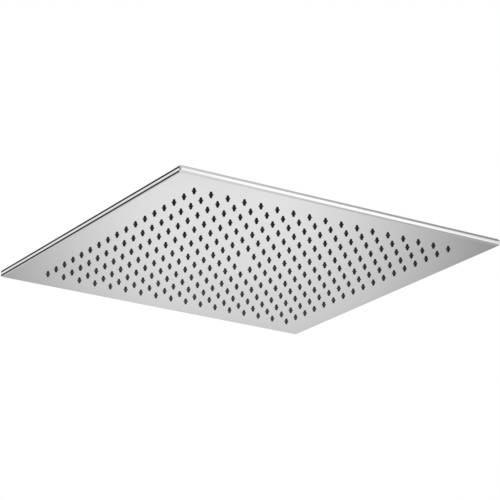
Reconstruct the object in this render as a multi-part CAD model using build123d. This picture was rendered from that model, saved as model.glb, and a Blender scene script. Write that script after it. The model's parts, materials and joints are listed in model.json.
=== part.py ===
from build123d import *

import os
from math import acos, asin, cos, degrees, radians, sin, sqrt, tan

# Driving dimensions, in millimetres and degrees.

# The plate: a lower tray and a shallow lid, both of the same sheet.
plate_side = 400.0
sheet = 1.2
tray_bend = 1.0  # inner radius of the tray's bends
tray_wall = 2.3  # height of the straight part of the tray's sides
lid_bend = 0.4  # inner radius of the lid's bends
lid_wall = 1.9  # height of the straight part of the lid's sides
lid_lean = 11.0  # how far the lid's sides lean inwards from upright
corner = 0.4  # inner radius of the upright corners

# The nozzles: silicone grommets, on a square grid with the middle place left bare.
nozzle_pitch = 20.0
nozzle_margin = 40.0  # least distance from a nozzle's middle to the plate's edge
nozzle_neck = 3.5  # diameter inside the sheet
nozzle_shoulder = 0.85  # how far the flared base stands over the neck
nozzle_lip = 0.2  # thickness of the flared base at its edge
nozzle_flare = 0.5  # height over which the base narrows to the cone
nozzle_cone = 0.12  # how far the cone's upper end stands over the neck
nozzle_grip = 1.25  # how far the inner flange stands over the neck
nozzle_flange = 1.0  # thickness of the inner flange
nozzle_wall = 0.55  # silicone around the bore at the neck
nozzle_reach = 3.35  # how far the tip stands out of the face
nozzle_orifice = 1.0
nozzle_tip_wall = 0.63
nozzle_play = 0.05  # between neck and hole, on each side

# The pieces between the two sheets.
post_diameter = 6.0
post_inset = 1.5  # pitches from the outermost nozzles in to the posts
deflector_diameter = 36.0
deflector_thickness = 1.0
deflector_post = 8.0
deflector_gap = 1.0  # between the nozzles' flanges and the deflector's disc

# The inlet: a hexagon with a female pipe thread, and what lies in it.
thread_major = 20.955
thread_depth = 1.162
thread_length = 11.0
relief_play = 0.1  # how far the groove below the thread is cut past the thread
hexagon_wall = 2.42
hexagon_floor = 2.8
hexagon_chamfer = 1.2
hexagon_chamfer_angle = 30.0
washer_thickness = 2.0
washer_hole = 12.0
washer_play = 0.2
filter_thickness = 0.5
filter_hole = 1.4
filter_hole_spacing = 2.5
filter_first_ring = 6  # holes in the innermost ring
regulator_diameter = 13.6
regulator_thickness = 2.4
regulator_hole = 1.8
regulator_hole_inset = 0.6  # from the water bore's wall in to the holes
regulator_holes = 6
regulator_play = 0.1
water_bore = 9.0

# The swivel: a ball held between a rubber seal and a plastic ring, which swings both ways from upright.
ball_diameter = 24.0
neck_diameter = 13.0
swing = 10.0  # about each of the two level axes
swivel_play = 0.15  # between each two of the nested spheres
slip_thickness = 1.85
slip_cover = 5.0  # degrees from the nut's lip down to the ring's upper edge
slip_bottom = 84.0  # polar angles from straight up
seal_thickness = 2.35
seal_top = 117.0
seal_bottom = 139.0
socket_wall = 3.35
socket_rise = 2.0  # from the ball's centre up to the socket's rim
socket_floor = 4.0
socket_flange = 2.5  # height of the flange that is welded to the lid
socket_flange_width = 2.5
socket_bevel = 1.25
socket_outlet = 16.0
spigot_wall = 1.9
spigot_play = 0.1
nut_wall = 3.4
nut_lip = 1.2  # height of the rim above the ring's seat
nut_depth = 10.0  # from the socket's rim down to the nut's lower face
nut_gap = 0.3  # between the nut and the socket's shoulder, and over its rim
nut_chamfer = 1.0
nut_thread_play = 0.1
nut_flutes = 12
nut_flute = 3.0  # diameter of the grip flutes
nut_flute_depth = 0.7
neck_gap = 0.5  # between the tilted nut and the stem

# Sizes that follow.
tray_height = tray_wall + tray_bend + sheet
lid_height = lid_wall + (lid_bend + sheet) * (1 - sin(radians(lid_lean)))
plate_height = tray_height + lid_height

half_rows = int((plate_side / 2 - nozzle_margin) / nozzle_pitch + 1e-9)
nozzle_hole = nozzle_neck + 2 * nozzle_play

thread_bore = thread_major - 2 * thread_depth
relief = thread_major + 2 * relief_play
hexagon_flats = relief + 2 * hexagon_wall
hexagon_corner = hexagon_flats / sqrt(3)
washer_diameter = thread_bore - 2 * washer_play
filter_top = -(thread_length + washer_play + washer_thickness)
filter_seat = filter_top - filter_thickness
regulator_seat = filter_seat - regulator_thickness - regulator_play
hexagon_bottom = regulator_seat - hexagon_floor

ball = ball_diameter / 2
swivel_inner = ball + swivel_play
slip_outer = swivel_inner + slip_thickness
seal_outer = swivel_inner + seal_thickness
nut_sphere = slip_outer + swivel_play
socket_sphere = seal_outer + swivel_play
socket_thread = socket_sphere + socket_wall
nut_bore = socket_thread + nut_thread_play
nut_outer = nut_bore + nut_wall

# The two swings together tilt the head this far. The nut's mouth clears the neck at that tilt,
# and the hexagon stands clear of the nut's tilted rim.
tilt = acos(cos(radians(swing)) ** 2)
lip_angle = tilt + asin((neck_diameter / 2 + neck_gap * cos(tilt)) / nut_sphere)
lip_radius = nut_sphere * sin(lip_angle)
lip_height = nut_sphere * cos(lip_angle)
slip_top = degrees(lip_angle) + slip_cover
nut_top = lip_height + nut_lip
neck_rise = (nut_top + neck_gap + hexagon_corner * sin(tilt)) / cos(tilt)
nut_bottom = socket_rise - nut_depth
socket_bottom = -sqrt(socket_sphere**2 - (socket_outlet / 2) ** 2) - socket_floor

# Heights in the part's frame: the origin is the middle of the inlet thread's mouth, with Z up.
ball_z = hexagon_bottom - neck_rise
lid_top_z = ball_z + socket_bottom
face_z = lid_top_z - plate_height
chamber_floor_z = face_z + sheet
chamber_top_z = lid_top_z - sheet


def turned(*corners):
    """A solid turned about Z from the (radius, height) corners of its half section."""
    outline = Polyline(*corners, close=True)
    return revolve(Plane.XZ * make_face(outline), Axis.Z)


def spherical_ring(inner, outer, top_angle, bottom_angle):
    """A ring between two spheres about the origin and two cones, at polar angles from straight up."""
    start = 90 - bottom_angle
    width = bottom_angle - top_angle
    inner_arc = CenterArc((0, 0), inner, start, width)
    outer_arc = CenterArc((0, 0), outer, start, width)
    lower_side = Line(inner_arc @ 0, outer_arc @ 0)
    upper_side = Line(inner_arc @ 1, outer_arc @ 1)
    outline = [inner_arc, lower_side, outer_arc, upper_side]
    return revolve(Plane.XZ * make_face(outline), Axis.Z)


def upright(radius, bottom, top):
    """A cylinder about Z between two heights."""
    return Pos(0, 0, bottom) * extrude(Circle(radius), top - bottom)


def rounded_block(side, height, corner_radius, bend_radius, lean):
    """A square block with round upright corners, whose sides lean inwards to the rounded lower edges."""
    slope = radians(lean)
    wall = height - bend_radius * (1 - sin(slope))
    bend_x = side / 2 - wall * tan(slope) - bend_radius * cos(slope)
    right = CenterArc((bend_x, bend_radius), bend_radius, -90, 90 - lean)
    left = CenterArc((-bend_x, bend_radius), bend_radius, 180 + lean, 90 - lean)
    upper = Polyline(right @ 1, (side / 2, height), (-side / 2, height), left @ 0)
    section = make_face([upper, left, Line(left @ 1, right @ 0), right])
    run = extrude(Plane.XZ * section, side / 2, both=True)
    block = extrude(RectangleRounded(side, side, corner_radius), height)
    return block & run & Rot(0, 0, 90) * run


def pressed_tray(height, bend, lean):
    """A shallow square tray of sheet, open upwards, with its floor's outer face at height 0."""
    opening = plate_side - 2 * sheet / cos(radians(lean))
    outside = rounded_block(plate_side, height, corner + sheet, bend + sheet, lean)
    inside = rounded_block(opening, height - sheet, corner, bend, lean)
    return outside - Pos(0, 0, sheet) * inside


def nozzle_places(row):
    """The nozzle centres of one row, counted from the middle row, with the middle place left out."""
    columns = range(-half_rows, half_rows + 1)
    return [(column * nozzle_pitch, row * nozzle_pitch) for column in columns if (column, row) != (0, 0)]


def face_plate():
    """The lower tray, with a hole for each nozzle."""
    rows = range(-half_rows, half_rows + 1)
    places = [place for row in rows for place in nozzle_places(row)]
    holes = Locations(*places) * upright(nozzle_hole / 2, 0, sheet)
    return Pos(0, 0, face_z) * (pressed_tray(tray_height, tray_bend, 0) - holes)


def back_plate():
    """The lid: a shallower tray turned over, with leaning sides and the hole for the socket's spigot."""
    hole = socket_outlet / 2 + spigot_wall + spigot_play
    lid = pressed_tray(lid_height, lid_bend, lid_lean) - upright(hole, 0, sheet)
    return Pos(0, 0, lid_top_z) * Rot(180, 0, 0) * lid


def nozzle():
    """One grommet: a flared cone under the sheet, the neck in its hole and a flange over it, with the water's way."""
    neck = nozzle_neck / 2
    return turned(
        (nozzle_orifice / 2, -nozzle_reach),
        (nozzle_orifice / 2 + nozzle_tip_wall, -nozzle_reach),
        (neck + nozzle_cone, -nozzle_lip - nozzle_flare),
        (neck + nozzle_shoulder, -nozzle_lip),
        (neck + nozzle_shoulder, 0),
        (neck, 0),
        (neck, sheet),
        (neck + nozzle_grip, sheet),
        (neck + nozzle_grip, sheet + nozzle_flange),
        (neck - nozzle_wall, sheet + nozzle_flange),
    )


def nozzle_row(row):
    """The grommets of one row, as separate solids."""
    grommet = nozzle()
    return Compound(children=[Pos(x, y, face_z) * grommet for x, y in nozzle_places(row)])


def water_deflector():
    """A mushroom on the bare middle place, which spreads the water that comes out of the inlet."""
    disc_bottom = chamber_floor_z + nozzle_flange + deflector_gap
    stalk = upright(deflector_post / 2, chamber_floor_z, disc_bottom)
    disc = upright(deflector_diameter / 2, disc_bottom, disc_bottom + deflector_thickness)
    return stalk + disc


def spacer_posts():
    """The posts between the two sheets, on a square around the middle."""
    reach = (half_rows - post_inset) * nozzle_pitch
    steps = (-reach, 0, reach)
    places = [(x, y) for y in steps for x in steps if (x, y) != (0, 0)]
    post = upright(post_diameter / 2, chamber_floor_z, chamber_top_z)
    return [Pos(x, y, 0) * post for x, y in places]


def ball_socket():
    """The boss welded to the lid: flange, shoulder, outer thread, seat for the ball's seal, outlet and spigot."""
    outlet = socket_outlet / 2
    spigot = outlet + spigot_wall
    flange = nut_outer + socket_flange_width
    flange_top = socket_bottom + socket_flange
    shoulder = nut_bottom - nut_gap
    body = turned(
        (0, socket_bottom - sheet),
        (spigot, socket_bottom - sheet),
        (spigot, socket_bottom),
        (flange, socket_bottom),
        (flange, flange_top - socket_bevel),
        (flange - socket_bevel, flange_top),
        (nut_outer, flange_top),
        (nut_outer, shoulder),
        (socket_thread, shoulder),
        (socket_thread, socket_rise),
        (0, socket_rise),
    )
    seat = Sphere(socket_sphere) + upright(socket_sphere, 0, socket_rise)
    way_out = upright(outlet, socket_bottom - sheet, 0)
    return Pos(0, 0, ball_z) * (body - seat - way_out)


def collar_nut():
    """The ring nut over the socket, with an inner seat for the slip ring and grip flutes around it."""
    body = turned(
        (0, nut_bottom),
        (nut_outer, nut_bottom),
        (nut_outer, nut_top - nut_chamfer),
        (nut_outer - nut_chamfer, nut_top),
        (0, nut_top),
    )
    bore = upright(nut_bore, nut_bottom, socket_rise + nut_gap)
    mouth_top = lip_radius + nut_lip * tan(tilt)
    mouth = turned(
        (0, 0),
        (lip_radius, 0),
        (lip_radius, lip_height),
        (mouth_top, nut_top),
        (0, nut_top),
    )
    flute_circle = nut_outer + nut_flute / 2 - nut_flute_depth
    flute = upright(nut_flute / 2, nut_bottom, nut_top)
    flutes = PolarLocations(flute_circle, nut_flutes) * flute
    return Pos(0, 0, ball_z) * (body - bore - Sphere(nut_sphere) - mouth - flutes)


def ball_stem():
    """Hexagon, neck and ball in one piece, with the inlet thread's bore, the pockets below it and the way down."""
    height = -hexagon_bottom
    hexagon = Pos(0, 0, hexagon_bottom) * extrude(RegularPolygon(hexagon_corner, 6), height)
    drop = hexagon_chamfer * tan(radians(hexagon_chamfer_angle))
    envelope = turned(
        (0, hexagon_bottom),
        (hexagon_corner - hexagon_chamfer, hexagon_bottom),
        (hexagon_corner, hexagon_bottom + drop),
        (hexagon_corner, -drop),
        (hexagon_corner - hexagon_chamfer, 0),
        (0, 0),
    )
    body = (hexagon & envelope) + upright(neck_diameter / 2, ball_z, hexagon_bottom)
    body += Pos(0, 0, ball_z) * Sphere(ball)
    ways = turned(
        (0, 0),
        (thread_bore / 2, 0),
        (thread_bore / 2, -thread_length),
        (relief / 2, -thread_length),
        (relief / 2, filter_seat),
        (regulator_diameter / 2 + regulator_play, filter_seat),
        (regulator_diameter / 2 + regulator_play, regulator_seat),
        (water_bore / 2, regulator_seat),
        (water_bore / 2, ball_z - ball),
        (0, ball_z - ball),
    )
    return body - ways


def slip_ring():
    """The plastic ring between the ball's upper side and the nut."""
    return Pos(0, 0, ball_z) * spherical_ring(swivel_inner, slip_outer, slip_top, slip_bottom)


def ball_seal():
    """The rubber ring between the ball's lower side and the socket."""
    return Pos(0, 0, ball_z) * spherical_ring(swivel_inner, seal_outer, seal_top, seal_bottom)


def inlet_washer():
    """The flat rubber washer below the inlet thread."""
    ring = upright(washer_diameter / 2, filter_top, filter_top + washer_thickness)
    return ring - upright(washer_hole / 2, filter_top, filter_top + washer_thickness)


def filter_screen():
    """The perforated disc that the washer presses onto its seat."""
    disc = upright(washer_diameter / 2, filter_seat, filter_top)
    rings = int((washer_hole / 2 - filter_hole / 2) / filter_hole_spacing)
    hole = upright(filter_hole / 2, filter_seat, filter_top)
    disc -= hole
    for ring in range(1, rings + 1):
        disc -= PolarLocations(ring * filter_hole_spacing, ring * filter_first_ring) * hole
    return disc


def flow_regulator():
    """The disc with a ring of small holes that limits the flow."""
    top = regulator_seat + regulator_thickness
    disc = upright(regulator_diameter / 2, regulator_seat, top)
    hole_circle = (water_bore - regulator_hole) / 2 - regulator_hole_inset
    holes = PolarLocations(hole_circle, regulator_holes) * upright(regulator_hole / 2, regulator_seat, top)
    return disc - holes


nodes = {
    "face_plate": face_plate(),
    "back_plate": back_plate(),
    "water_deflector": water_deflector(),
    "ball_socket": ball_socket(),
    "collar_nut": collar_nut(),
    "slip_ring": slip_ring(),
    "ball_seal": ball_seal(),
    "ball_stem": ball_stem(),
    "inlet_washer": inlet_washer(),
    "filter_screen": filter_screen(),
    "flow_regulator": flow_regulator(),
}
for number, row in enumerate(range(-half_rows, half_rows + 1), start=1):
    nodes[f"nozzle_row_{number:02d}"] = nozzle_row(row)
for number, post in enumerate(spacer_posts(), start=1):
    nodes[f"spacer_post_{number}"] = post

os.makedirs("parts", exist_ok=True)
for name, solid in nodes.items():
    export_step(solid, f"parts/{name}.step")
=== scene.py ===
import json
import math

import bmesh
import bpy
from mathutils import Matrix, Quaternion, Vector


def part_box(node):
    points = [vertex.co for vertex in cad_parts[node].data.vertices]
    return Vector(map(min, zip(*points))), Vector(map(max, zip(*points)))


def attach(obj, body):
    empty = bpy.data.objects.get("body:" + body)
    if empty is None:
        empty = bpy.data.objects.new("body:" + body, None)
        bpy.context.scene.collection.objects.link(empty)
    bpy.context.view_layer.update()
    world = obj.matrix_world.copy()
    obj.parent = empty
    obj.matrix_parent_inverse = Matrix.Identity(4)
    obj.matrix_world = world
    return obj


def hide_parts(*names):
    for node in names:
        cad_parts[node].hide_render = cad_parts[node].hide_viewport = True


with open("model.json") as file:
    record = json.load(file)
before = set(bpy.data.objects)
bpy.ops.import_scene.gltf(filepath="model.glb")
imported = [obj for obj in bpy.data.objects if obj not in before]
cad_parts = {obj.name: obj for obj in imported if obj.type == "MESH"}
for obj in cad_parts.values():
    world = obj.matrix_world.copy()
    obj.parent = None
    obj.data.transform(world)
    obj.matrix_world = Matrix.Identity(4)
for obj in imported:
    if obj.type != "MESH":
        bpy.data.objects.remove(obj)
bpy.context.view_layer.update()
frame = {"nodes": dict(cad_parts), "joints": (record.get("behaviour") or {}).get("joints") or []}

# The face plate: the lower tray of the shower head, one stainless sheet polished to a mirror.
# Its four sides are pressed up around it, and each nozzle has a punched hole on a square grid.
# The middle place of the grid is bare.
mm = 0.001
face_low, face_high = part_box("face_plate")
plate_half = face_high.x
tray_height = face_high.z - face_low.z
sheet = 1.2 * mm
corner_radius = 1.6 * mm
tray_bend = 2.2 * mm
bend_steps = 8
rim_break = 0.12 * mm
row_names = sorted(name for name in frame["nodes"] if name.startswith("nozzle_row_"))
row_boxes = [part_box(name) for name in row_names]
row_middles = [(low.y + high.y) / 2 for low, high in row_boxes]
pitch = (row_middles[-1] - row_middles[0]) / (len(row_names) - 1)
rows_half = len(row_names) // 2
pattern_half = (rows_half + 0.5) * pitch
hole_radius = 1.8 * mm
hole_segments = 24
weld = 1e-6  # vertices closer than this are one
crease = math.radians(30)  # edges that turn further than this stay sharp
polished_colour = (0.76, 0.76, 0.757)
noise_low = 0.3  # most of a noise lies between these two
noise_high = 0.7
haze_scale = 12
haze_change = 0.012
gloss_change = 0.2


def verts_of(result):
    """The vertices in what a bmesh operator gives back."""
    return [item for item in result["geom"] if isinstance(item, bmesh.types.BMVert)]


def edges_of(result):
    """The edges in what a bmesh operator gives back."""
    return [item for item in result["geom"] if isinstance(item, bmesh.types.BMEdge)]


def edges_at(verts):
    """The edges that meet at these vertices, each once."""
    return list({edge for vert in verts for edge in vert.link_edges})


def reach(vert):
    """How far a vertex lies from the middle, measured to the side of a square."""
    return max(abs(vert.co.x), abs(vert.co.y))


def onto_square(verts, half):
    """Moves each vertex along its ray from the middle onto the sides of a square."""
    for vert in verts:
        vert.co.xy *= half / reach(vert)


def pressed_sides(bm, height, bend, lean):
    """Makes the sides of a square tray, which lean inwards and end in a rounded bend.

    Returns the open edges around the tray's floor.
    """
    bmesh.ops.create_grid(bm, x_segments=1, y_segments=1, size=plate_half)
    bmesh.ops.bevel(bm, geom=bm.verts[:], offset=corner_radius, affect="VERTICES", segments=bend_steps,
                    profile=0.5, material=-1)
    bmesh.ops.translate(bm, verts=bm.verts, vec=(0, 0, height))
    ring = bm.edges[:]
    bmesh.ops.delete(bm, geom=bm.faces[:], context="FACES_ONLY")
    wall = height - bend * (1 - math.sin(lean))
    inset = 0
    for step in range(bend_steps + 1):
        angle = lean + (math.pi / 2 - lean) * step / bend_steps
        further = wall * math.tan(lean) + bend * (math.cos(lean) - math.cos(angle)) - inset
        inset += further
        grown = bmesh.ops.extrude_edge_only(bm, edges=ring)
        ring = edges_of(grown)
        for vert in verts_of(grown):
            vert.co.x -= math.copysign(further, vert.co.x)
            vert.co.y -= math.copysign(further, vert.co.y)
            vert.co.z = bend * (1 - math.sin(angle))
    return ring


def give_thickness(bm, height):
    """Turns the tray's outer skin into sheet metal, and breaks the outer edge of its rim."""
    bmesh.ops.remove_doubles(bm, verts=bm.verts, dist=weld)
    bmesh.ops.recalc_face_normals(bm, faces=bm.faces)
    bmesh.ops.solidify(bm, geom=bm.faces[:], thickness=sheet)
    rim = [edge for edge in bm.edges if all(
        abs(vert.co.z - height) < weld and reach(vert) > plate_half - sheet / 2 for vert in edge.verts)]
    bmesh.ops.bevel(bm, geom=rim, offset=rim_break, affect="EDGES", segments=2, profile=0.5, material=-1)


def add_piece(name, bm, material):
    """Makes an object of a finished bmesh, smooth apart from its sharp edges."""
    for face in bm.faces:
        face.smooth = True
    for edge in bm.edges:
        edge.smooth = edge.calc_face_angle(0) < crease
    mesh = bpy.data.meshes.new(name)
    bm.to_mesh(mesh)
    bm.free()
    mesh.materials.append(material)
    piece = bpy.data.objects.new(name, mesh)
    bpy.context.scene.collection.objects.link(piece)
    return piece


def stand_for(piece, body, node):
    """Lets flat faces stay flat beside rounded edges, and puts the piece on its body in place of its node."""
    even = piece.modifiers.new("even_shading", "WEIGHTED_NORMAL")
    even.keep_sharp = True
    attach(piece, body)
    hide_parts(node)


def start_finish(name):
    """A new material with its node tree and its shader."""
    material = bpy.data.materials.new(name)
    material.use_nodes = True
    tree = material.node_tree
    return material, tree, tree.nodes["Principled BSDF"]


def grain(tree, scale, stretch=(1, 1, 1), detail=4):
    """Noise over the piece's own coordinates, drawn out along the axes where stretch is small."""
    place = tree.nodes.new("ShaderNodeTexCoord")
    mapping = tree.nodes.new("ShaderNodeMapping")
    mapping.inputs["Scale"].default_value = stretch
    noise = tree.nodes.new("ShaderNodeTexNoise")
    noise.inputs["Scale"].default_value = scale
    noise.inputs["Detail"].default_value = detail
    tree.links.new(place.outputs["Object"], mapping.inputs["Vector"])
    tree.links.new(mapping.outputs["Vector"], noise.inputs["Vector"])
    return noise.outputs["Fac"]


def between(tree, value, low, high):
    """Spreads a noise's middle range from low to high."""
    spread = tree.nodes.new("ShaderNodeMapRange")
    spread.inputs["From Min"].default_value = noise_low
    spread.inputs["From Max"].default_value = noise_high
    spread.inputs["To Min"].default_value = low
    spread.inputs["To Max"].default_value = high
    tree.links.new(value, spread.inputs["Value"])
    return spread.outputs["Result"]


def tone(tree, value, colour, change):
    """A colour that the noise makes lighter and darker by a small share."""
    mix = tree.nodes.new("ShaderNodeMix")
    mix.data_type = "RGBA"
    mix.inputs["A"].default_value = (*[part * (1 - change) for part in colour], 1)
    mix.inputs["B"].default_value = (*[min(1, part * (1 + change)) for part in colour], 1)
    tree.links.new(between(tree, value, 0, 1), mix.inputs["Factor"])
    return mix.outputs["Result"]


def relief(tree, value, depth):
    """A fine unevenness of the surface, of that depth in metres."""
    bump = tree.nodes.new("ShaderNodeBump")
    bump.inputs["Distance"].default_value = depth
    tree.links.new(value, bump.inputs["Height"])
    return bump.outputs["Normal"]


def metal_finish(name, colour, roughness, line_scale, line_stretch, line_depth):
    """Bare or plated metal: a faint haze in its tone, and polishing lines in its gloss and relief."""
    material, tree, shader = start_finish(name)
    shader.inputs["Metallic"].default_value = 1
    haze = grain(tree, haze_scale)
    lines = grain(tree, line_scale, line_stretch)
    gloss = between(tree, lines, roughness * (1 - gloss_change), roughness * (1 + gloss_change))
    tree.links.new(tone(tree, haze, colour, haze_change), shader.inputs["Base Color"])
    tree.links.new(gloss, shader.inputs["Roughness"])
    tree.links.new(relief(tree, lines, line_depth), shader.inputs["Normal"])
    return material


polished_steel = metal_finish("polished_steel", polished_colour, roughness=0.07, line_scale=400,
                              line_stretch=(0.03, 1, 1), line_depth=2e-7)
tray_mesh = bmesh.new()
pressed_sides(tray_mesh, tray_height, tray_bend, lean=0)
hole = bmesh.ops.create_circle(tray_mesh, radius=hole_radius, segments=hole_segments)["verts"]
hole_edges = edges_at(hole)
cell = bmesh.ops.extrude_edge_only(tray_mesh, edges=hole_edges)
onto_square(verts_of(cell), pitch / 2)
cell_faces = list({face for vert in hole for face in vert.link_faces})
places = range(-rows_half, rows_half + 1)
for column, row in [(column, row) for row in places for column in places if (column, row) != (0, 0)]:
    copy = bmesh.ops.duplicate(tray_mesh, geom=cell_faces)
    bmesh.ops.translate(tray_mesh, verts=verts_of(copy), vec=(column * pitch, row * pitch, 0))
bmesh.ops.edgeloop_fill(tray_mesh, edges=hole_edges)
bmesh.ops.remove_doubles(tray_mesh, verts=tray_mesh.verts, dist=weld)
margin = [edge for edge in tray_mesh.edges if edge.is_boundary and all(
    vert.co.z < weld and reach(vert) > pattern_half - weld for vert in edge.verts)]
bmesh.ops.triangle_fill(tray_mesh, edges=margin, use_beauty=True)
give_thickness(tray_mesh, tray_height)
bmesh.ops.translate(tray_mesh, verts=tray_mesh.verts, vec=(0, 0, face_low.z))
polished_tray = add_piece("polished_tray", tray_mesh, polished_steel)
stand_for(polished_tray, "head", "face_plate")

# The nozzles: soft black silicone grommets, moulded one by one and pushed into the holes of the face.
# Each is a short flared cone with its orifice at the tip, so that lime can be rubbed off with a thumb.
silicone_colour = (0.008, 0.008, 0.0083)
silicone_ior = 1.41
silicone_sheen = 0.25


def moulded_finish(name, colour, change, grain_scale, roughness):
    """Rubber or plastic from a mould: a fine grain makes its colour and its gloss a little uneven."""
    material, tree, shader = start_finish(name)
    fine_grain = grain(tree, grain_scale)
    tree.links.new(tone(tree, fine_grain, colour, change), shader.inputs["Base Color"])
    tree.links.new(between(tree, fine_grain, *roughness), shader.inputs["Roughness"])
    return material


def dress(names, material):
    """Gives CAD nodes that keep their own shape a finish."""
    for name in names:
        node_mesh = frame["nodes"][name].data
        node_mesh.materials.clear()
        node_mesh.materials.append(material)


nozzle_silicone = moulded_finish("nozzle_silicone", silicone_colour, change=0.25, grain_scale=900,
                                 roughness=(0.42, 0.55))
silicone_shader = nozzle_silicone.node_tree.nodes["Principled BSDF"]
silicone_shader.inputs["IOR"].default_value = silicone_ior
silicone_shader.inputs["Specular IOR Level"].default_value = silicone_sheen
dress(row_names, nozzle_silicone)

# The pieces inside: eight spacer posts that hold the two sheets apart, and the deflector under the inlet.
# All are plain stainless steel with a mill finish, spot welded to the face plate.
mill_colour = (0.6, 0.6, 0.59)
inner_steel = metal_finish("inner_steel", mill_colour, roughness=0.35, line_scale=500,
                           line_stretch=(1, 1, 0.2), line_depth=2e-6)
post_names = sorted(name for name in frame["nodes"] if name.startswith("spacer_post_"))
dress([*post_names, "water_deflector"], inner_steel)

# The back plate: the shallow lid that closes the tray, pressed from the same sheet with leaning sides.
# It is turned over and welded to the tray rim on rim, with polished sides and a satin top.
# The hole in its middle takes the socket's spigot.
lid_low, lid_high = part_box("back_plate")
lid_height = lid_high.z - lid_low.z
lid_bend = 1.6 * mm
lid_lean = math.radians(11)
lid_hole = 10 * mm
lid_hole_segments = 96
lid_colour = (0.7, 0.7, 0.695)
lid_side_roughness = 0.1
lid_top_roughness = 0.3
lid_polish_reach = 0.4 * mm  # the satin top starts this far below the highest point
satin_steel = metal_finish("satin_steel", lid_colour, lid_side_roughness, line_scale=500,
                           line_stretch=(0.015, 1, 1), line_depth=6e-7)
satin_tree = satin_steel.node_tree
satin_shader = satin_tree.nodes["Principled BSDF"]
satin_place = satin_tree.nodes.new("ShaderNodeTexCoord")
satin_height = satin_tree.nodes.new("ShaderNodeSeparateXYZ")
satin_change = satin_tree.nodes.new("ShaderNodeMapRange")
satin_change.inputs["From Min"].default_value = lid_high.z - lid_polish_reach
satin_change.inputs["From Max"].default_value = lid_high.z
satin_change.inputs["To Min"].default_value = lid_side_roughness
satin_change.inputs["To Max"].default_value = lid_top_roughness
satin_tree.links.new(satin_place.outputs["Object"], satin_height.inputs["Vector"])
satin_tree.links.new(satin_height.outputs["Z"], satin_change.inputs["Value"])
satin_tree.links.new(satin_change.outputs["Result"], satin_shader.inputs["Roughness"])
lid_mesh = bmesh.new()
lid_edges = pressed_sides(lid_mesh, lid_height, lid_bend, lid_lean)
hole = bmesh.ops.create_circle(lid_mesh, radius=lid_hole, segments=lid_hole_segments)["verts"]
bmesh.ops.triangle_fill(lid_mesh, edges=lid_edges + edges_at(hole), use_beauty=True)
give_thickness(lid_mesh, lid_height)
bmesh.ops.rotate(lid_mesh, verts=lid_mesh.verts, matrix=Quaternion((1, 0, 0), math.pi).to_matrix())
bmesh.ops.translate(lid_mesh, verts=lid_mesh.verts, vec=(0, 0, lid_high.z))
satin_lid = add_piece("satin_lid", lid_mesh, satin_steel)
stand_for(satin_lid, "head", "back_plate")

# The ball socket: a round boss turned from brass, chrome plated and fixed to the middle of the lid.
# Its flange lies on the lid and its spigot goes through, and inside it has the seat for the ball's seal.
# The collar nut screws over its upper part.
ball_centre = Vector(frame["joints"][0]["pos_m"])
socket_low, socket_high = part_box("ball_socket")
nut_low, nut_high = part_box("collar_nut")
nut_radius = 21.5 * mm
nut_gap = 0.3 * mm
flange_radius = socket_high.x
flange_height = 2.5 * mm
flange_top = lid_high.z + flange_height
flange_bevel = 1.25 * mm
spigot_radius = 9.9 * mm
outlet_radius = 8 * mm
socket_seat = 14.65 * mm
socket_thread = 18 * mm
shoulder_top = nut_low.z - nut_gap
turned_ease = 0.25 * mm
sharp_turn = 0.6  # radians past which a corner or an edge is eased
turn_steps = 96
plated_colour = (0.82, 0.82, 0.825)
plated_brass = metal_finish("plated_brass", plated_colour, roughness=0.05, line_scale=900,
                            line_stretch=(1, 1, 0.05), line_depth=1e-7)


def ball_arc(radius, start, end, steps=12):
    """Points of a sphere's half section about the ball's centre, between two angles from straight up."""
    angles = [start + (end - start) * step / steps for step in range(steps + 1)]
    return [(radius * math.sin(angle), ball_centre.z + radius * math.cos(angle)) for angle in angles]


def half_section(bm, corners, closed=True):
    """Draws the half section of a turned piece through its (radius, height) corners."""
    verts = [bm.verts.new((radius, 0, height)) for radius, height in corners]
    nexts = verts[1:] + verts[:1] if closed else verts[1:]
    for pair in zip(verts, nexts):
        bm.edges.new(pair)
    return verts


def ease(bm, verts, radius):
    """Rounds those corners of a half section that are sharp."""
    sharp = [vert for vert in verts if vert.calc_edge_angle(0) > sharp_turn]
    bmesh.ops.bevel(bm, geom=sharp, offset=radius, affect="VERTICES", segments=3, profile=0.5, material=-1)


def turn(bm, steps):
    """Turns the half section about the upright axis."""
    bmesh.ops.spin(bm, geom=bm.verts[:] + bm.edges[:], cent=(0, 0, 0), axis=(0, 0, 1), angle=math.tau,
                   steps=steps, use_merge=True)
    bmesh.ops.remove_doubles(bm, verts=bm.verts, dist=weld)
    bmesh.ops.recalc_face_normals(bm, faces=bm.faces)


socket_mesh = bmesh.new()
socket_corners = half_section(socket_mesh, [
    (outlet_radius, socket_low.z),
    (spigot_radius, socket_low.z),
    (spigot_radius, lid_high.z),
    (flange_radius, lid_high.z),
    (flange_radius, flange_top - flange_bevel),
    (flange_radius - flange_bevel, flange_top),
    (nut_radius, flange_top),
    (nut_radius, shoulder_top),
    (socket_thread, shoulder_top),
    (socket_thread, socket_high.z),
    (socket_seat, socket_high.z),
    *ball_arc(socket_seat, math.pi / 2, math.pi - math.asin(outlet_radius / socket_seat)),
])
ease(socket_mesh, socket_corners, turned_ease)
turn(socket_mesh, turn_steps)
socket_boss = add_piece("socket_boss", socket_mesh, plated_brass)
stand_for(socket_boss, "head", "ball_socket")

# The seal and the slip ring: a black rubber ring under the ball and a white plastic ring over it.
# The nut presses them onto the ball, which keeps the swivel tight and lets it move smoothly.
rubber_colour = (0.02, 0.02, 0.02)
slip_colour = (0.78, 0.78, 0.75)
rubber = moulded_finish("black_rubber", rubber_colour, change=0.3, grain_scale=1200, roughness=(0.6, 0.8))
slip_plastic = moulded_finish("white_plastic", slip_colour, change=0.03, grain_scale=600,
                              roughness=(0.3, 0.42))
dress(["ball_seal"], rubber)
dress(["slip_ring"], slip_plastic)

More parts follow.
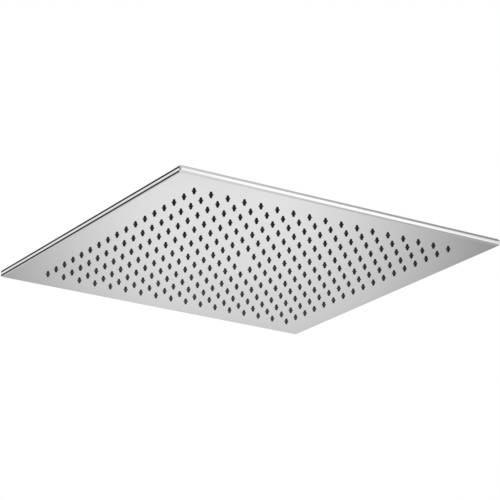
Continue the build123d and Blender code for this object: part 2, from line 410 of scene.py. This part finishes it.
# The collar nut: a ring nut turned from brass and chrome plated, with grip flutes milled around it.
# It screws onto the socket and holds the ball in it, and its flared mouth leaves the neck room to swing.
nut_bore = 18.1 * mm
nut_seat = 14.15 * mm
nut_chamfer = 1 * mm
lip_angle = math.radians(43.68)
seat_height = 2.3 * mm
swing = math.radians(frame["joints"][1]["range_deg"][1])
tilt = math.acos(math.cos(swing) ** 2)
lip_height = ball_centre.z + nut_seat * math.cos(lip_angle)
mouth_radius = nut_seat * math.sin(lip_angle) + (nut_high.z - lip_height) * math.tan(tilt)
flute_count = 12
flute_radius = 1.5 * mm
flute_depth = 0.7 * mm
flute_circle = nut_radius + flute_radius - flute_depth
flute_angle = math.tau / flute_count
flute_steps = 24
nut_mesh = bmesh.new()
nut_corners = half_section(nut_mesh, [
    (nut_bore, nut_low.z),
    (nut_radius, nut_low.z),
    (nut_radius, nut_high.z - nut_chamfer),
    (nut_radius - nut_chamfer, nut_high.z),
    (mouth_radius, nut_high.z),
    *ball_arc(nut_seat, lip_angle, math.acos(seat_height / nut_seat)),
    (nut_bore, ball_centre.z + seat_height),
])
ease(nut_mesh, nut_corners, turned_ease)
turn(nut_mesh, flute_steps * flute_count)
for vert in nut_mesh.verts:
    radius = vert.co.xy.length
    angle = math.atan2(vert.co.y, vert.co.x)
    off = (angle + flute_angle / 2) % flute_angle - flute_angle / 2
    across = flute_circle * math.sin(off)
    if abs(across) < flute_radius:
        flute_floor = flute_circle * math.cos(off) - math.sqrt(flute_radius**2 - across**2)
        vert.co.xy *= min(1, flute_floor / radius)
nut_ring = add_piece("nut_ring", nut_mesh, plated_brass)
stand_for(nut_ring, "head", "collar_nut")

# The ball stem: hexagon, neck and ball turned from one brass bar and chrome plated.
# The hexagon takes the wrench, and its bore has the pipe thread that screws onto the shower arm.
# Below the thread lie the stepped seats for the filter and the flow regulator.
hexagon_bottom = -19 * mm
hexagon_flat = 12.9975 * mm
flat_half_angle = math.pi / 6
hexagon_corner = hexagon_flat / math.cos(flat_half_angle)
hexagon_chamfer = 1.2 * mm
hexagon_ring = hexagon_corner - hexagon_chamfer
hexagon_slope = math.tan(math.radians(30))  # of its chamfers
hexagon_ease = 0.3 * mm
neck_radius = 6.5 * mm
neck_fillet = 1.2 * mm
ball_radius = 12 * mm
water_bore = 4.5 * mm
regulator_pocket = 6.9 * mm
regulator_floor = -16.2 * mm
filter_floor = -13.7 * mm
relief_radius = 10.5775 * mm
thread_end = -11 * mm
thread_minor = 9.3155 * mm
thread_major = 10.45 * mm
thread_pitch = 1.814 * mm
thread_turns = 4
crest_end = 0.15  # shares of the pitch: flat crest, flank, flat root, and a flank back to the crest
root_start = 0.5
root_end = 0.65
countersink = 10.7 * mm
thread_mouth = thread_minor - countersink
stem_mesh = bmesh.new()
stem_corners = half_section(stem_mesh, [
    (thread_minor, thread_end),
    (relief_radius, thread_end),
    (relief_radius, filter_floor),
    (regulator_pocket, filter_floor),
    (regulator_pocket, regulator_floor),
    (water_bore, regulator_floor),
    *ball_arc(ball_radius, math.pi - math.asin(water_bore / ball_radius),
              math.asin(neck_radius / ball_radius), steps=24),
    (neck_radius, hexagon_bottom),
    (hexagon_ring, hexagon_bottom),
    (hexagon_corner, hexagon_bottom),
    (hexagon_corner, 0),
    (hexagon_ring, 0),
    (countersink, 0),
    (thread_minor, thread_mouth),
], closed=False)
neck_root = [vert for vert in stem_corners if abs(vert.co.x - neck_radius) < weld
             and vert.co.z > hexagon_bottom - weld]
ease(stem_mesh, neck_root, neck_fillet)
turn(stem_mesh, turn_steps)
for vert in stem_mesh.verts:
    radius = vert.co.xy.length
    if radius > hexagon_ring - weld and vert.co.z > hexagon_bottom - weld:
        off = math.atan2(vert.co.y, vert.co.x) % (2 * flat_half_angle) - flat_half_angle
        side = min(radius, hexagon_flat / math.cos(off))
        vert.co.xy *= side / radius
        drop = max(0, side - hexagon_ring) * hexagon_slope
        vert.co.z += drop if vert.co.z < hexagon_bottom / 2 else -drop
bmesh.ops.remove_doubles(stem_mesh, verts=stem_mesh.verts, dist=weld)
wrench_edges = [edge for edge in stem_mesh.edges if edge.calc_face_angle(0) > sharp_turn and all(
    vert.co.xy.length > hexagon_ring + weld for vert in edge.verts)]
bmesh.ops.bevel(stem_mesh, geom=wrench_edges, offset=hexagon_ease, affect="EDGES", segments=3, profile=0.5,
                material=-1)
groove_start = thread_mouth - crest_end * thread_pitch
groove = ((crest_end, thread_minor), (root_start, thread_major), (root_end, thread_major), (1, thread_minor))
thread_points = [(thread_minor, groove_start)]
for number in range(thread_turns):
    for share, radius in groove:
        thread_points.append((radius, groove_start - (number + share) * thread_pitch))
thread_verts = half_section(stem_mesh, thread_points, closed=False)
bmesh.ops.spin(stem_mesh, geom=thread_verts + edges_at(thread_verts), cent=(0, 0, 0), axis=(0, 0, 1),
               dvec=(0, 0, -thread_pitch / turn_steps), angle=math.tau, steps=turn_steps)
bmesh.ops.remove_doubles(stem_mesh, verts=stem_mesh.verts, dist=weld)
open_edges = [edge for edge in stem_mesh.edges if edge.is_boundary]
thread_middle = (thread_mouth + thread_end) / 2
bmesh.ops.bridge_loops(stem_mesh, edges=[edge for edge in open_edges if edge.verts[0].co.z > thread_middle])
bmesh.ops.bridge_loops(stem_mesh, edges=[edge for edge in open_edges if edge.verts[0].co.z < thread_middle])
bmesh.ops.recalc_face_normals(stem_mesh, faces=stem_mesh.faces)
stem_body = add_piece("stem_body", stem_mesh, plated_brass)
stand_for(stem_body, "inlet", "ball_stem")

# The pieces in the inlet: the flat rubber washer, the perforated filter disc and the plastic flow regulator.
# They lie loose on the steps of the stem's bore, and the shower arm presses them down.
regulator_colour = (0.08, 0.36, 0.12)
regulator_plastic = moulded_finish("green_plastic", regulator_colour, change=0.08, grain_scale=700,
                                   roughness=(0.35, 0.5))
dress(["inlet_washer"], rubber)
dress(["filter_screen"], inner_steel)
dress(["flow_regulator"], regulator_plastic)

# The camera: below the head and off one corner of it, as someone looks up at it from across the shower.
# Its long lens keeps the sides of the plate nearly parallel.
camera_azimuth = math.radians(-32.04)
camera_elevation = math.radians(-19.02)
camera_distance = 2.4096
camera_roll = math.radians(0.647)
aim = Vector((-15.9 * mm, -37.3 * mm, face_low.z))
back = Vector((
    math.sin(camera_azimuth) * math.cos(camera_elevation),
    -math.cos(camera_azimuth) * math.cos(camera_elevation),
    math.sin(camera_elevation),
))
camera_data = bpy.data.cameras.new("camera")
camera_data.sensor_width = 36
camera_data.lens = 159.83
camera = bpy.data.objects.new("camera", camera_data)
camera.location = aim + back * camera_distance
camera.rotation_mode = "QUATERNION"
camera.rotation_quaternion = (-back).to_track_quat("-Z", "Y") @ Quaternion((0, 0, 1), camera_roll)
bpy.context.scene.collection.objects.link(camera)
bpy.context.scene.camera = camera
bpy.context.scene.view_settings.view_transform = "Standard"

# The floor: a wide sheet of pale paper below the hanging head, which only takes the head's soft shadow.
# It is clear from below, where the camera stands.
floor_height = -0.22
floor_radius = 14
floor_segments = 96
floor_colour = (0.86, 0.86, 0.86, 1)
floor_mesh = bmesh.new()
bmesh.ops.create_circle(floor_mesh, cap_ends=True, radius=floor_radius, segments=floor_segments)
bmesh.ops.translate(floor_mesh, verts=floor_mesh.verts, vec=(0, 0, floor_height))
floor_material, floor_tree, floor_shader = start_finish("floor_paper")
floor_shader.inputs["Base Color"].default_value = floor_colour
floor_shader.inputs["Roughness"].default_value = 1
floor_shader.inputs["Specular IOR Level"].default_value = 0
floor_side = floor_tree.nodes.new("ShaderNodeNewGeometry")
floor_clear = floor_tree.nodes.new("ShaderNodeBsdfTransparent")
floor_mix = floor_tree.nodes.new("ShaderNodeMixShader")
floor_tree.links.new(floor_side.outputs["Backfacing"], floor_mix.inputs["Fac"])
floor_tree.links.new(floor_shader.outputs["BSDF"], floor_mix.inputs[1])
floor_tree.links.new(floor_clear.outputs["BSDF"], floor_mix.inputs[2])
floor_tree.links.new(floor_mix.outputs["Shader"], floor_tree.nodes["Material Output"].inputs["Surface"])
floor = add_piece("floor", floor_mesh, floor_material)
floor.visible_glossy = False
floor.visible_diffuse = False
floor.visible_shadow = False

# The surroundings: plain white to the eye, and an even soft light on everything that isn't shiny.
# The polished metal shows a room in them instead, with soft light and dark places, as softboxes and
# black cards give in a studio.
ambient = 0.5
room_level = 0.88
room_change = 0.08
cloud_scale = 2.2
# Each place has its limits of azimuth, counted to the left from where the camera looks, its limits of
# elevation, how soft both pairs of limits are, all in degrees, and its brightness, where 1 is white.
room_places = {
    "upper walls all around": ((-200, 200), (4, 54), (1, 8), 0.62),
    "high window on the right": ((-135, -108), (28, 54), (6, 6), 0.9),
    "high card on the right": ((-104, -75), (26, 48), (5, 5), 0.3),
    "floor on the right": ((-95, -20), (-56, -38), (5, 4), 0.4),
    "low card on the right": ((-108, -96), (-42, -12), (4, 4), 0.45),
    "strip light on the right": ((-119, -109.5), (-2, 30), (4, 8), 1.4),
    "low card on the left": ((44, 70), (-34, -14), (4, 3), 0.05),
    "upright card on the left": ((54, 74), (-18, 15), (4, 2.5), 0.05),
    "far wall": ((-16, 10), (-13, 14), (5, 4), 0.32),
    "foot of the far wall": ((-18, 16), (-25, -13), (6, 3), 0.24),
    "strip light on the left": ((50, 72), (14, 24), (4, 2), 0.97),
    "high card on the far wall": ((2, 42), (21, 38), (4, 3), 0.2),
    "high card on the left": ((40, 66), (23.7, 40), (4, 2), 0.04),
    "wall behind on the left": ((74, 150), (12, 28), (6, 6), 0.12),
    "low softbox at the far wall": ((-4.85, 6.1), (-24.4, -15.8), (4.4, 5.2), 1.01),
}
surroundings = bpy.data.worlds.new("surroundings")
bpy.context.scene.world = surroundings
surroundings.use_nodes = True
sky_tree = surroundings.node_tree
sky = sky_tree.nodes["Background"]
sky.inputs["Color"].default_value = (1, 1, 1, 1)
sky_place = sky_tree.nodes.new("ShaderNodeTexCoord")


def sky_math(operation, first, second):
    """One step of arithmetic on two values, each a socket or a number."""
    step = sky_tree.nodes.new("ShaderNodeMath")
    step.operation = operation
    for socket, value in zip(step.inputs, (first, second)):
        if isinstance(value, bpy.types.NodeSocket):
            sky_tree.links.new(value, socket)
        else:
            socket.default_value = value
    return step.outputs["Value"]


def sky_mix(share, first, second):
    """Goes from the first value to the second with a share, each a socket or a number."""
    mix = sky_tree.nodes.new("ShaderNodeMix")
    for name, value in (("Factor", share), ("A", first), ("B", second)):
        if isinstance(value, bpy.types.NodeSocket):
            sky_tree.links.new(value, mix.inputs[name])
        else:
            mix.inputs[name].default_value = value
    return mix.outputs["Result"]


def ramp(value, start, end):
    """Rises smoothly from 0 at the start to 1 at the end, both in degrees."""
    slope = sky_tree.nodes.new("ShaderNodeMapRange")
    slope.interpolation_type = "SMOOTHSTEP"
    slope.inputs["From Min"].default_value = math.radians(start)
    slope.inputs["From Max"].default_value = math.radians(end)
    sky_tree.links.new(value, slope.inputs["Value"])
    return slope.outputs["Result"]


def within(value, limits, soft):
    """Is 1 between the two limits and fades to 0 beyond them."""
    rise = ramp(value, limits[0] - soft, limits[0] + soft)
    fall = ramp(value, limits[1] - soft, limits[1] + soft)
    return sky_math("SUBTRACT", rise, fall)


def part_along(axis):
    """How far the direction that a ray looks in goes along an axis."""
    product = sky_tree.nodes.new("ShaderNodeVectorMath")
    product.operation = "DOT_PRODUCT"
    product.inputs[1].default_value = axis
    sky_tree.links.new(sky_place.outputs["Generated"], product.inputs[0])
    return product.outputs["Value"]


view_across = Vector((-back.x, -back.y, 0)).normalized()
view_left = Vector((0, 0, 1)).cross(view_across)
azimuth = sky_math("ARCTAN2", part_along(view_left), part_along(view_across))
elevation = sky_math("ARCSINE", part_along((0, 0, 1)), 0)
clouds = sky_tree.nodes.new("ShaderNodeTexNoise")
clouds.inputs["Scale"].default_value = cloud_scale
clouds.inputs["Detail"].default_value = 0
sky_tree.links.new(sky_place.outputs["Generated"], clouds.inputs["Vector"])
room = between(sky_tree, clouds.outputs["Fac"], room_level - room_change, room_level + room_change)
for azimuths, elevations, softness, brightness in room_places.values():
    across_share = within(azimuth, azimuths, softness[0])
    upright_share = within(elevation, elevations, softness[1])
    room = sky_mix(sky_math("MULTIPLY", across_share, upright_share), room, brightness)
rays = sky_tree.nodes.new("ShaderNodeLightPath")
plain = sky_mix(rays.outputs["Is Camera Ray"], ambient, 1)
shown = sky_mix(rays.outputs["Is Glossy Ray"], plain, room)
sky_tree.links.new(shown, sky.inputs["Strength"])

# The lamps: a large soft one high above, which casts the head's shadow on the floor, and a small one below.
# The light from below catches the sides of the far nozzles, and those of the near ones stay dark.
high_place = Vector((0.3, -0.4, 2.4))
high_size = 2.4
high_energy = 34
low_place = Vector((-0.07, 0.14, face_low.z - 0.5))
low_size = 0.25
low_energy = 30


def add_lamp(name, place, target, size, energy):
    """A square soft lamp that shines at a target and isn't seen itself, not even in the metal."""
    lamp_data = bpy.data.lights.new(name, "AREA")
    lamp_data.shape = "SQUARE"
    lamp_data.size = size
    lamp_data.energy = energy
    lamp = bpy.data.objects.new(name, lamp_data)
    lamp.location = place
    lamp.rotation_euler = (place - target).to_track_quat("Z", "Y").to_euler()
    lamp.visible_camera = False
    lamp.visible_glossy = False
    bpy.context.scene.collection.objects.link(lamp)


add_lamp("soft_lamp", high_place, Vector((0, 0, 0)), high_size, high_energy)
add_lamp("low_lamp", low_place, low_place + Vector((0, 0, 1)), low_size, low_energy)
